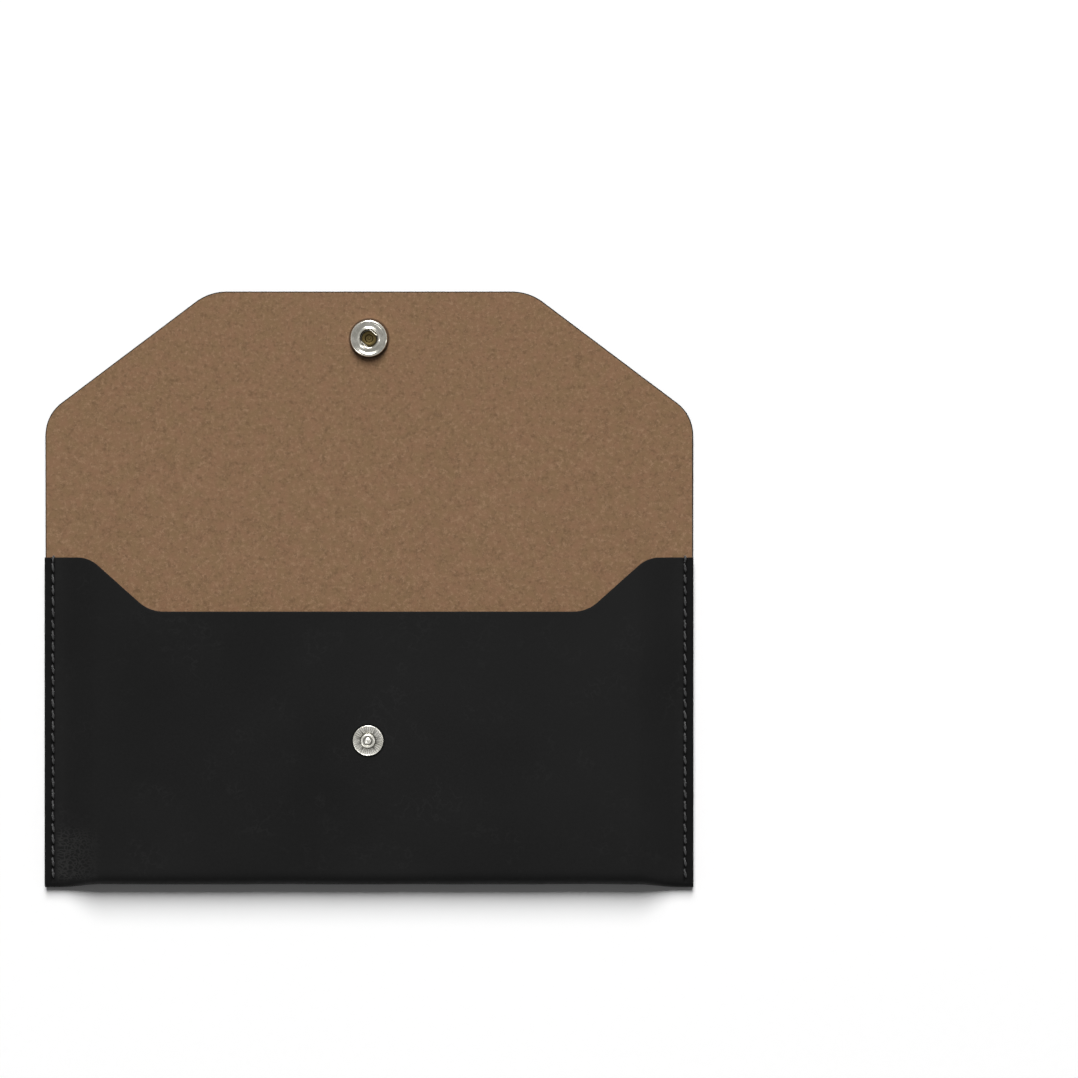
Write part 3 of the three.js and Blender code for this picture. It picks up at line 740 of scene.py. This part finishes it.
def makeSeam(side, name):
    randomly = random.Random(7 if side < 0 else 11)
    stitch = makeStitch()
    copies = []
    for index in range(stitching["count"]):
        y = stitchTop - (index + 0.5) * stitchLength
        for z, turn in ((thread["frontZ"], 0), (thread["backZ"], math.pi)):
            slant = math.radians(thread["slant"] + randomly.uniform(-1, 1) * thread["slantSpread"])
            drift = Vector((side * seamX + randomly.uniform(-0.04, 0.04) * mm, y, z))
            copy = stitch.copy()
            copy.data = stitch.data.copy()
            copy.data.transform(
                Matrix.Translation(drift) @ Matrix.Rotation(slant, 4, "Z") @ Matrix.Rotation(turn, 4, "Y")
            )
            bpy.context.scene.collection.objects.link(copy)
            copies.append(copy)
    copies.append(overShoulder(side))
    bpy.data.objects.remove(stitch)
    deselectAll()
    for copy in copies:
        copy.select_set(True)
    bpy.context.view_layer.objects.active = copies[0]
    bpy.ops.object.join()
    seam = bpy.context.object
    seam.name = name
    return seam


leftSeam = makeSeam(-1, "left_seam_stitches")
rightSeam = makeSeam(1, "right_seam_stitches")
print("seams made")


# Materials

def srgb(red, green, blue):
    # from the 0 to 255 values of a picture
    values = [value / 255 for value in (red, green, blue)]
    return [v / 12.92 if v < 0.04045 else ((v + 0.055) / 1.055) ** 2.4 for v in values] + [1]


class NodeTree:
    # short calls for building a node tree
    def __init__(self, tree):
        self.tree = tree

    def add(self, kind, values=None, **settings):
        node = self.tree.nodes.new(kind)
        for setting, value in settings.items():
            setattr(node, setting, value)
        for key, value in (values or {}).items():
            if isinstance(value, bpy.types.NodeSocket):
                self.tree.links.new(value, node.inputs[key])
            else:
                node.inputs[key].default_value = value
        return node

    def math(self, operation, a, b=0.0, c=0.0):
        return self.add("ShaderNodeMath", {0: a, 1: b, 2: c}, operation=operation).outputs[0]

    def ramp(self, value, low, high, bottom=0.0, top=1.0):
        node = self.add("ShaderNodeMapRange", {0: value, 1: low, 2: high, 3: bottom, 4: top})
        node.interpolation_type = "SMOOTHSTEP"
        return node.outputs[0]

    def mix(self, factor, a, b):
        node = self.add("ShaderNodeMix", data_type="RGBA")
        for entry, value in ((node.inputs[0], factor), (node.inputs[6], a), (node.inputs[7], b)):
            if isinstance(value, bpy.types.NodeSocket):
                self.tree.links.new(value, entry)
            else:
                entry.default_value = value
        return node.outputs[2]


def newGroup(name, inputs, outputs):
    group = bpy.data.node_groups.new(name, "ShaderNodeTree")
    for label, kind, value in inputs:
        socketIn = group.interface.new_socket(label, in_out="INPUT", socket_type=kind)
        socketIn.default_value = value
    for label, kind in outputs:
        group.interface.new_socket(label, in_out="OUTPUT", socket_type=kind)
    nodes = NodeTree(group)
    return group, nodes, nodes.add("NodeGroupInput"), nodes.add("NodeGroupOutput")


def makeMottleGroup():
    # slow and fine changes of tone: Shade runs from 0 to 1 about its middle
    group, nodes, given, out = newGroup(
        "mottle",
        [
            ("Slow Scale", "NodeSocketFloat", 30),
            ("Fine Scale", "NodeSocketFloat", 900),
            ("Fine Share", "NodeSocketFloat", 0.4),
        ],
        [("Shade", "NodeSocketFloat"), ("Height", "NodeSocketFloat")],
    )
    place = nodes.add("ShaderNodeTexCoord").outputs["Object"]
    slowScale = given.outputs["Slow Scale"]
    slow = nodes.add("ShaderNodeTexNoise", {"Vector": place, "Scale": slowScale, "Detail": 3})
    fine = nodes.add("ShaderNodeTexNoise", {
        "Vector": place, "Scale": given.outputs["Fine Scale"], "Detail": 4, "Roughness": 0.62,
    })
    slowShare = nodes.math("SUBTRACT", 1, given.outputs["Fine Share"])
    slowPart = nodes.math("MULTIPLY", slow.outputs[0], slowShare)
    shade = nodes.math("MULTIPLY_ADD", fine.outputs[0], given.outputs["Fine Share"], slowPart)
    group.links.new(shade, out.inputs["Shade"])
    group.links.new(fine.outputs[0], out.inputs["Height"])
    return group


def makeGrainGroup():
    # fine pebbled grain with short creases
    group, nodes, given, out = newGroup(
        "leather grain",
        [("Grain Scale", "NodeSocketFloat", 1500), ("Crease Depth", "NodeSocketFloat", 0.5)],
        [("Height", "NodeSocketFloat"), ("Crease", "NodeSocketFloat")],
    )
    place = nodes.add("ShaderNodeTexCoord").outputs["Object"]
    warp = nodes.add("ShaderNodeTexNoise", {"Vector": place, "Scale": 420, "Detail": 2})
    shift = nodes.add("ShaderNodeVectorMath", {0: warp.outputs["Color"], 3: 0.0009}, operation="SCALE")
    bent = nodes.add("ShaderNodeVectorMath", {0: place, 1: shift.outputs[0]}, operation="ADD")
    cells = nodes.add(
        "ShaderNodeTexVoronoi",
        {"Vector": bent.outputs[0], "Scale": given.outputs["Grain Scale"]},
        feature="DISTANCE_TO_EDGE",
    )
    pebble = nodes.ramp(cells.outputs["Distance"], 0.0, 0.22)
    long = nodes.add("ShaderNodeTexNoise", {
        "Vector": bent.outputs[0], "Scale": 260, "Detail": 5, "Roughness": 0.55,
    })
    fromMiddle = nodes.math("ABSOLUTE", nodes.math("SUBTRACT", long.outputs[0], 0.5))
    crease = nodes.ramp(fromMiddle, 0.0, 0.035, 1, 0)
    height = nodes.math("SUBTRACT", pebble, nodes.math("MULTIPLY", crease, given.outputs["Crease Depth"]))
    group.links.new(height, out.inputs["Height"])
    group.links.new(crease, out.inputs["Crease"])
    return group


def makeContactShadeGroup():
    # painted shade: a soft dark ring close round a snap, standing in for its contact shadow on the sheet
    group, nodes, given, out = newGroup(
        "contact shade ring",
        [("Centre", "NodeSocketVector", (0, 0, 0)), ("Radius", "NodeSocketFloat", 4 * mm)],
        [("Mask", "NodeSocketFloat")],
    )
    place = nodes.add("ShaderNodeTexCoord").outputs["Object"]
    away = nodes.add("ShaderNodeVectorMath", {0: place, 1: given.outputs["Centre"]}, operation="DISTANCE")
    ringStart = nodes.math("ADD", given.outputs["Radius"], 0.15 * mm)
    ringEnd = nodes.math("ADD", given.outputs["Radius"], 0.7 * mm)
    mask = nodes.ramp(away.outputs["Value"], ringStart, ringEnd, 0.85, 0)
    group.links.new(mask, out.inputs["Mask"])
    return group


mottleGroup = makeMottleGroup()
grainGroup = makeGrainGroup()
contactShadeGroup = makeContactShadeGroup()


def newMaterial(name, settings):
    material = bpy.data.materials.new(name)
    material.use_nodes = True
    nodes = NodeTree(material.node_tree)
    shader = material.node_tree.nodes["Principled BSDF"]
    for label, value in settings.items():
        shader.inputs[label].default_value = value
    return material, nodes, shader


def placeGroup(nodes, group, values):
    node = nodes.tree.nodes.new("ShaderNodeGroup")
    node.node_tree = group
    for label, value in values.items():
        node.inputs[label].default_value = value
    return node


def bumped(nodes, shader, height, strength, distance):
    bump = nodes.add("ShaderNodeBump", {"Height": height, "Strength": strength, "Distance": distance})
    nodes.tree.links.new(bump.outputs[0], shader.inputs["Normal"])


crazing = {
    "x": (2.9 * mm, 18 * mm),
    "y": (2 * mm, 18.5 * mm),
    "soft": 5.5 * mm,
    "strength": 0.65,
    "stretch": (0.5, 1.25, 1),   # the wrinkles run across the seam
}

blackLeather = {
    "dark": srgb(20, 20, 20),
    "light": srgb(26, 26, 26),
    "edge": srgb(10, 10, 10),    # painted shade: darker borders and bottom fold
    "crease": srgb(40, 40, 40),
    "worn": srgb(50, 50, 49),
    "contactShade": srgb(2, 2, 2),      # painted shade round the stud
    "hole": srgb(3, 3, 3),       # painted shade in the groove and holes of the stitches
    "roughness": (0.5, 0.62),
    "specular": 0.07,
    "grainDepth": 0.06 * mm,
}


def makeBlackLeather(name, withSeams):
    material, nodes, shader = newMaterial(name, {"Specular IOR Level": blackLeather["specular"]})
    mottle = placeGroup(nodes, mottleGroup, {"Slow Scale": 22, "Fine Scale": 1300, "Fine Share": 0.35})
    grain = placeGroup(nodes, grainGroup, {"Grain Scale": 2100, "Crease Depth": 0.35})
    tone = nodes.ramp(mottle.outputs["Shade"], 0.3, 0.7)
    colour = nodes.mix(tone, blackLeather["dark"], blackLeather["light"])
    place = nodes.add("ShaderNodeTexCoord").outputs["Object"]
    where = nodes.add("ShaderNodeTexNoise", {"Vector": place, "Scale": 95, "Detail": 2}).outputs[0]
    creased = nodes.math("MULTIPLY", grain.outputs["Crease"], nodes.ramp(where, 0.5, 0.7, 0, 0.3))
    colour = nodes.mix(creased, colour, blackLeather["crease"])
    height = nodes.math("MULTIPLY", grain.outputs["Height"], 0.25)
    if withSeams:
        # the "pressed" attribute is painted shade in the stitch groove and holes
        pressed = nodes.add("ShaderNodeAttribute", attribute_name="pressed").outputs["Fac"]
        crazed = nodes.add("ShaderNodeAttribute", attribute_name="crazed").outputs["Fac"]
        edge = nodes.add("ShaderNodeAttribute", attribute_name="edge").outputs["Fac"]
        # painted shade: the "edge" attribute darkens the borders and the bottom fold
        colour = nodes.mix(nodes.math("MULTIPLY", edge, 0.85), colour, blackLeather["edge"])
        # painted shade: a dark ring round the stud
        contactShade = placeGroup(nodes, contactShadeGroup, {"Centre": studCentre, "Radius": stud["radius"]})
        colour = nodes.mix(contactShade.outputs["Mask"], colour, blackLeather["contactShade"])
        warp = nodes.add("ShaderNodeTexNoise", {"Vector": place, "Scale": 240, "Detail": 3})
        shift = nodes.add("ShaderNodeVectorMath", {0: warp.outputs["Color"], 3: 0.0035}, operation="SCALE")
        bent = nodes.add("ShaderNodeVectorMath", {0: place, 1: shift.outputs[0]}, operation="ADD")
        flat = nodes.add(
            "ShaderNodeVectorMath", {0: bent.outputs[0], 1: crazing["stretch"]}, operation="MULTIPLY"
        )
        cracks = nodes.add(
            "ShaderNodeTexVoronoi", {"Vector": flat.outputs[0], "Scale": 1100}, feature="DISTANCE_TO_EDGE"
        )
        ridge = nodes.math("MULTIPLY", nodes.ramp(cracks.outputs["Distance"], 0.02, 0.2, 1, 0), crazed)
        colour = nodes.mix(nodes.math("MULTIPLY", ridge, 0.75), colour, blackLeather["worn"])
        colour = nodes.mix(pressed, colour, blackLeather["hole"])
        height = nodes.math("MULTIPLY_ADD", ridge, 2.2, height)
    nodes.tree.links.new(colour, shader.inputs["Base Color"])
    rough = nodes.ramp(mottle.outputs["Shade"], 0.3, 0.7, *blackLeather["roughness"])
    nodes.tree.links.new(rough, shader.inputs["Roughness"])
    bumped(nodes, shader, height, 0.5, blackLeather["grainDepth"])
    return material


brownNap = {
    "dark": srgb(108, 84, 62),
    "light": srgb(146, 117, 91),
    "warm": srgb(132, 101, 77),
    "olive": srgb(127, 101, 74),
    # painted shade round the socket
    "contactShade": srgb(58, 44, 34),
    "sheen": 0.12,
    "napDepth": 0.12 * mm,
}


def makeBrownNap():
    material, nodes, shader = newMaterial("brown nap", {
        "Roughness": 0.95, "Specular IOR Level": 0.15, "Sheen Weight": brownNap["sheen"],
        "Sheen Roughness": 0.5, "Sheen Tint": srgb(170, 140, 110),
    })
    tone = placeGroup(nodes, mottleGroup, {"Slow Scale": 520, "Fine Scale": 1500, "Fine Share": 0.6})
    nap = placeGroup(nodes, mottleGroup, {"Slow Scale": 1100, "Fine Scale": 3600, "Fine Share": 0.5})
    place = nodes.add("ShaderNodeTexCoord").outputs["Object"]
    hue = nodes.add("ShaderNodeTexNoise", {"Vector": place, "Scale": 300, "Detail": 4})
    middle = nodes.mix(nodes.ramp(hue.outputs[0], 0.3, 0.7), brownNap["warm"], brownNap["olive"])
    colour = nodes.mix(nodes.ramp(tone.outputs["Shade"], 0.36, 0.52, 0.8, 0), middle, brownNap["dark"])
    colour = nodes.mix(nodes.ramp(nap.outputs["Shade"], 0.5, 0.64), colour, brownNap["light"])
    # painted shade: a dark ring round the socket
    contactShade = placeGroup(nodes, contactShadeGroup, {"Centre": socketCentre, "Radius": socket["radius"]})
    colour = nodes.mix(contactShade.outputs["Mask"], colour, brownNap["contactShade"])
    nodes.tree.links.new(colour, shader.inputs["Base Color"])
    bumped(nodes, shader, nap.outputs["Shade"], 0.6, brownNap["napDepth"])
    return material


threadLook = {
    "dark": srgb(20, 20, 21),
    "light": srgb(66, 66, 66),
    "roughness": (0.45, 0.7),
    "fuzz": 0.08 * mm,
}


def makeThread():
    material, nodes, shader = newMaterial("twisted thread", {
        "Specular IOR Level": 0.5, "Sheen Weight": 0.3, "Sheen Roughness": 0.4,
    })
    fibre = placeGroup(nodes, mottleGroup, {"Slow Scale": 260, "Fine Scale": 5200, "Fine Share": 0.55})
    tone = nodes.ramp(fibre.outputs["Shade"], 0.38, 0.62)
    colour = nodes.mix(tone, threadLook["dark"], threadLook["light"])
    rough = nodes.ramp(fibre.outputs["Shade"], 0.3, 0.7, *threadLook["roughness"])
    nodes.tree.links.new(colour, shader.inputs["Base Color"])
    nodes.tree.links.new(rough, shader.inputs["Roughness"])
    bumped(nodes, shader, fibre.outputs["Height"], 0.6, threadLook["fuzz"])
    return material


nickel = {
    # painted shade in the hollows of the stud and socket
    "recessShade": srgb(38, 37, 34),
    "brass": srgb(92, 80, 50),           # inside the cap's tube
    "brassHeights": (1.2 * mm, 1.6 * mm),
    "pitDepth": 0.03 * mm,
}


def makeNickel(name, dark, light, roughness, uneven=0.25, brassy=False, recessShaded=False):
    # dark tone in slow patches, and a fine unevenness in the roughness
    material, nodes, shader = newMaterial(name, {"Metallic": 1.0})
    patch = placeGroup(nodes, mottleGroup, {"Slow Scale": 420, "Fine Scale": 5200, "Fine Share": 0.3})
    colour = nodes.mix(nodes.ramp(patch.outputs["Shade"], 0.35, 0.65), dark, light)
    if brassy:
        place = nodes.add("ShaderNodeTexCoord").outputs["Object"]
        height = nodes.add("ShaderNodeSeparateXYZ", {0: place}).outputs["Z"]
        colour = nodes.mix(nodes.ramp(height, *nickel["brassHeights"]), colour, nickel["brass"])
    # painted shade in the hollows, from the hollows mask
    if recessShaded:
        recessShade = nodes.add("ShaderNodeAttribute", attribute_name="recessShade").outputs["Fac"]
        colour = nodes.mix(recessShade, colour, nickel["recessShade"])
    nodes.tree.links.new(colour, shader.inputs["Base Color"])
    rough = nodes.ramp(patch.outputs["Height"], 0.35, 0.65, roughness * 0.75, roughness * 1.35)
    nodes.tree.links.new(rough, shader.inputs["Roughness"])
    bumped(nodes, shader, patch.outputs["Height"], uneven, nickel["pitDepth"])
    return material


def dress(piece, material, slot, body, *nodes):
    piece.data.materials.clear()
    piece.data.materials.append(material)
    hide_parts(*nodes)
    if body:
        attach(piece, body)


def writeMask(piece, name, valueAt):
    mask = piece.data.attributes.new(name, "FLOAT", "POINT")
    mask.data.foreach_set("value", [valueAt(vertex.co) for vertex in piece.data.vertices])


# painted shade: dark in the stitch groove and holes
def stitchShadeMask(point):
    across = abs(abs(point.x) - seamX)
    if across > 1 * mm or not stitchBottom - 1 * mm < point.y < stitchTop + 1 * mm:
        return 0
    toHole = abs((stitchTop - point.y + stitchLength / 2) % stitchLength - stitchLength / 2)
    groove = 0.75 * smoothStep((0.62 * mm - across) / (0.25 * mm))
    return max(groove, math.exp(-(across ** 2 + toHole ** 2) / (0.5 * mm) ** 2))


def crazedMask(point):
    fromEdge = point.x + halfWidth
    fromBottom = point.y - bottomY
    if point.z < sheetThick or fromEdge > 25 * mm or fromBottom > 25 * mm:
        return 0
    soft = crazing["soft"]
    inside = smoothStep((fromEdge - crazing["x"][0]) / mm)
    inside *= smoothStep((crazing["x"][1] - fromEdge) / soft / 2)
    inside *= smoothStep((fromBottom - crazing["y"][0]) / mm)
    inside *= smoothStep((crazing["y"][1] - fromBottom) / soft)
    return crazing["strength"] * inside


def edgeShadeMask(point):
    # painted shade outside the stitches, and round the bottom fold
    border = smoothStep((abs(point.x) - seamX + 0.3 * mm) / (0.7 * mm))
    fold = smoothStep((bottomY + 4.2 * mm - point.y) / (3.4 * mm))
    return max(border, fold)


# the "edge" attribute is painted shade
writeMask(pocketSkin, "edge", edgeShadeMask)
writeMask(pocketSkin, "pressed", stitchShadeMask)
writeMask(pocketSkin, "crazed", crazedMask)

sewnLeather = makeBlackLeather("black leather, sewn", True)
plainLeather = makeBlackLeather("black leather", False)
napLining = makeBrownNap()
threadFinish = makeThread()
brightNickel = makeNickel(
    "bright nickel", srgb(186, 183, 173), srgb(222, 219, 209), 0.17, 0.12, recessShaded=True
)
satinNickel = makeNickel(
    "satin nickel", srgb(120, 120, 119), srgb(170, 169, 166), 0.42, 0.35, brassy=True
)
# painted light: the stud's nickel is a lighter copy of the bright nickel on the post and socket
paintedLightStudNickel = makeNickel(
    "stud nickel, painted lighter", srgb(222, 220, 210), srgb(248, 246, 238), 0.3, 0.12, recessShaded=True
)
wireNickel = makeNickel("spring wire", srgb(214, 208, 190), srgb(240, 235, 222), 0.16)


def studRecessShade(point):
    # painted shade: dark in the groove round the knob, between the ribs and round the middle of the knob
    away = point - studCentre
    radius = math.hypot(away.x, away.y)
    ringTop = sheet["glue"] + stud["base"] - stud["rimRise"]
    betweenRibs = stud["ribStart"] < radius < stud["radius"] - stud["rim"] and away.z < ringTop + 0.02 * mm
    inGroove = stud["neck"] < radius < stud["ribStart"] and away.z < ringTop + 0.4 * mm
    inKnob = 0.8 * mm < radius < 1.3 * mm and away.z > stud["knobHeight"]
    return 0.35 if betweenRibs else 0.85 if inGroove else 0.75 if inKnob else 0


def socketRecessShade(point):
    # painted shade inside the socket's mouth
    away = point - socketCentre
    radius = math.hypot(away.x, away.y)
    inside = away.z < socket["height"] - 0.5 * mm and radius < socket["radius"] - socket["wall"]
    return 0.6 if inside else 0


writeMask(studPiece, "recessShade", studRecessShade)
writeMask(socketPiece, "recessShade", socketRecessShade)

dress(pocketSkin, sewnLeather, "black_sheet", None, "pocket_shell", "strip_shell")
dress(flapSkin, plainLeather, "black_sheet", None, "flap_shell")
dress(pocketInside, napLining, "brown_lining", None, "pocket_lining", "strip_lining")
dress(flapInside, napLining, "brown_lining", None, "flap_lining")
dress(leftSeam, threadFinish, "thread", "pocket", "left_seam_thread")
dress(rightSeam, threadFinish, "thread", "pocket", "right_seam_thread")
dress(studPiece, paintedLightStudNickel, "bright_nickel", "pocket", "snap_stud")
dress(postPiece, brightNickel, "bright_nickel", "pocket", "snap_post")
dress(socketPiece, brightNickel, "bright_nickel", "flap", "snap_socket")
dress(springPiece, wireNickel, "spring_wire", "flap", "socket_spring")
dress(capPiece, satinNickel, "satin_nickel", "flap", "snap_cap")
print("materials made")


# The sheets' transforms are baked into their meshes

for piece in (pocketSkin, pocketInside):
    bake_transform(piece)
for piece in (flapSkin, flapInside):
    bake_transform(piece)


# Floor, light and camera

def makeFloor():
    deselectAll()
    bpy.ops.mesh.primitive_plane_add(size=30, location=(0, 0, -0.05 * mm))
    floor = bpy.context.object
    floor.name = "floor"
    material, nodes, shader = newMaterial("white paper", {"Roughness": 0.95, "Specular IOR Level": 0.0})
    tone = placeGroup(nodes, mottleGroup, {"Slow Scale": 3, "Fine Scale": 400, "Fine Share": 0.4})
    paper = nodes.mix(nodes.ramp(tone.outputs["Shade"], 0.3, 0.7), (0.985, 0.985, 0.985, 1), (1, 1, 1, 1))
    nodes.tree.links.new(paper, shader.inputs["Base Color"])
    floor.data.materials.append(material)


lights = {
    # place, size, watts, and whether it lights more than the metal's reflections
    "key": ((0, 6.4, 6.2), (3.8, 5.8), 1130, True),
    "low left card": ((-0.8, -0.75, 1.1), (0.45, 0.6), 4.5, False),
    "right card": ((1.2, -0.1, 0.7), (0.14, 0.8), 1.4, False),
}


def makeLights():
    for name, (place, size, watts, lightsAll) in lights.items():
        lamp = bpy.data.lights.new(name, "AREA")
        lamp.shape = "RECTANGLE"
        lamp.size, lamp.size_y = size
        lamp.energy = watts
        holder = bpy.data.objects.new(name, lamp)
        holder.location = place
        holder.visible_diffuse = lightsAll
        holder.rotation_euler = (-Vector(place)).to_track_quat("-Z", "Y").to_euler()
        bpy.context.scene.collection.objects.link(holder)


walls = {"low": 0.35, "high": 0.97, "side": 0.72, "ceiling": 0.46, "shareOnObject": 0.2}


def makeWorld():
    world = bpy.data.worlds.new("studio")
    bpy.context.scene.world = world
    world.use_nodes = True
    nodes = NodeTree(world.node_tree)
    background = world.node_tree.nodes["Background"]
    direction = nodes.add("ShaderNodeTexCoord").outputs["Generated"]
    up = nodes.add("ShaderNodeSeparateXYZ", {0: direction}).outputs["Z"]
    around = nodes.ramp(up, walls["low"], walls["high"], walls["side"], walls["ceiling"])
    light = nodes.add("ShaderNodeLightPath")
    seen = light.outputs["Is Camera Ray"]
    mirrored = nodes.math("MAXIMUM", light.outputs["Is Glossy Ray"], light.outputs["Is Transmission Ray"])
    share = walls["shareOnObject"]
    lit = nodes.math("MULTIPLY", around, nodes.math("MULTIPLY_ADD", mirrored, 1 - share, share))
    strength = nodes.math("MAXIMUM", lit, seen)
    nodes.tree.links.new(strength, background.inputs["Strength"])
    background.inputs["Color"].default_value = (1, 1, 1, 1)


camera = {"place": (46.1 * mm, 13.7 * mm, 0.9), "lens": 110.5, "sensor": 36}


def makeCamera():
    lens = bpy.data.cameras.new("camera")
    lens.lens = camera["lens"]
    lens.sensor_width = camera["sensor"]
    lens.clip_start = 0.01
    holder = bpy.data.objects.new("camera", lens)
    holder.location = camera["place"]
    bpy.context.scene.collection.objects.link(holder)
    bpy.context.scene.camera = holder


makeFloor()
makeLights()
makeWorld()
makeCamera()
bpy.context.scene.view_settings.view_transform = "Standard"
print("stage made")
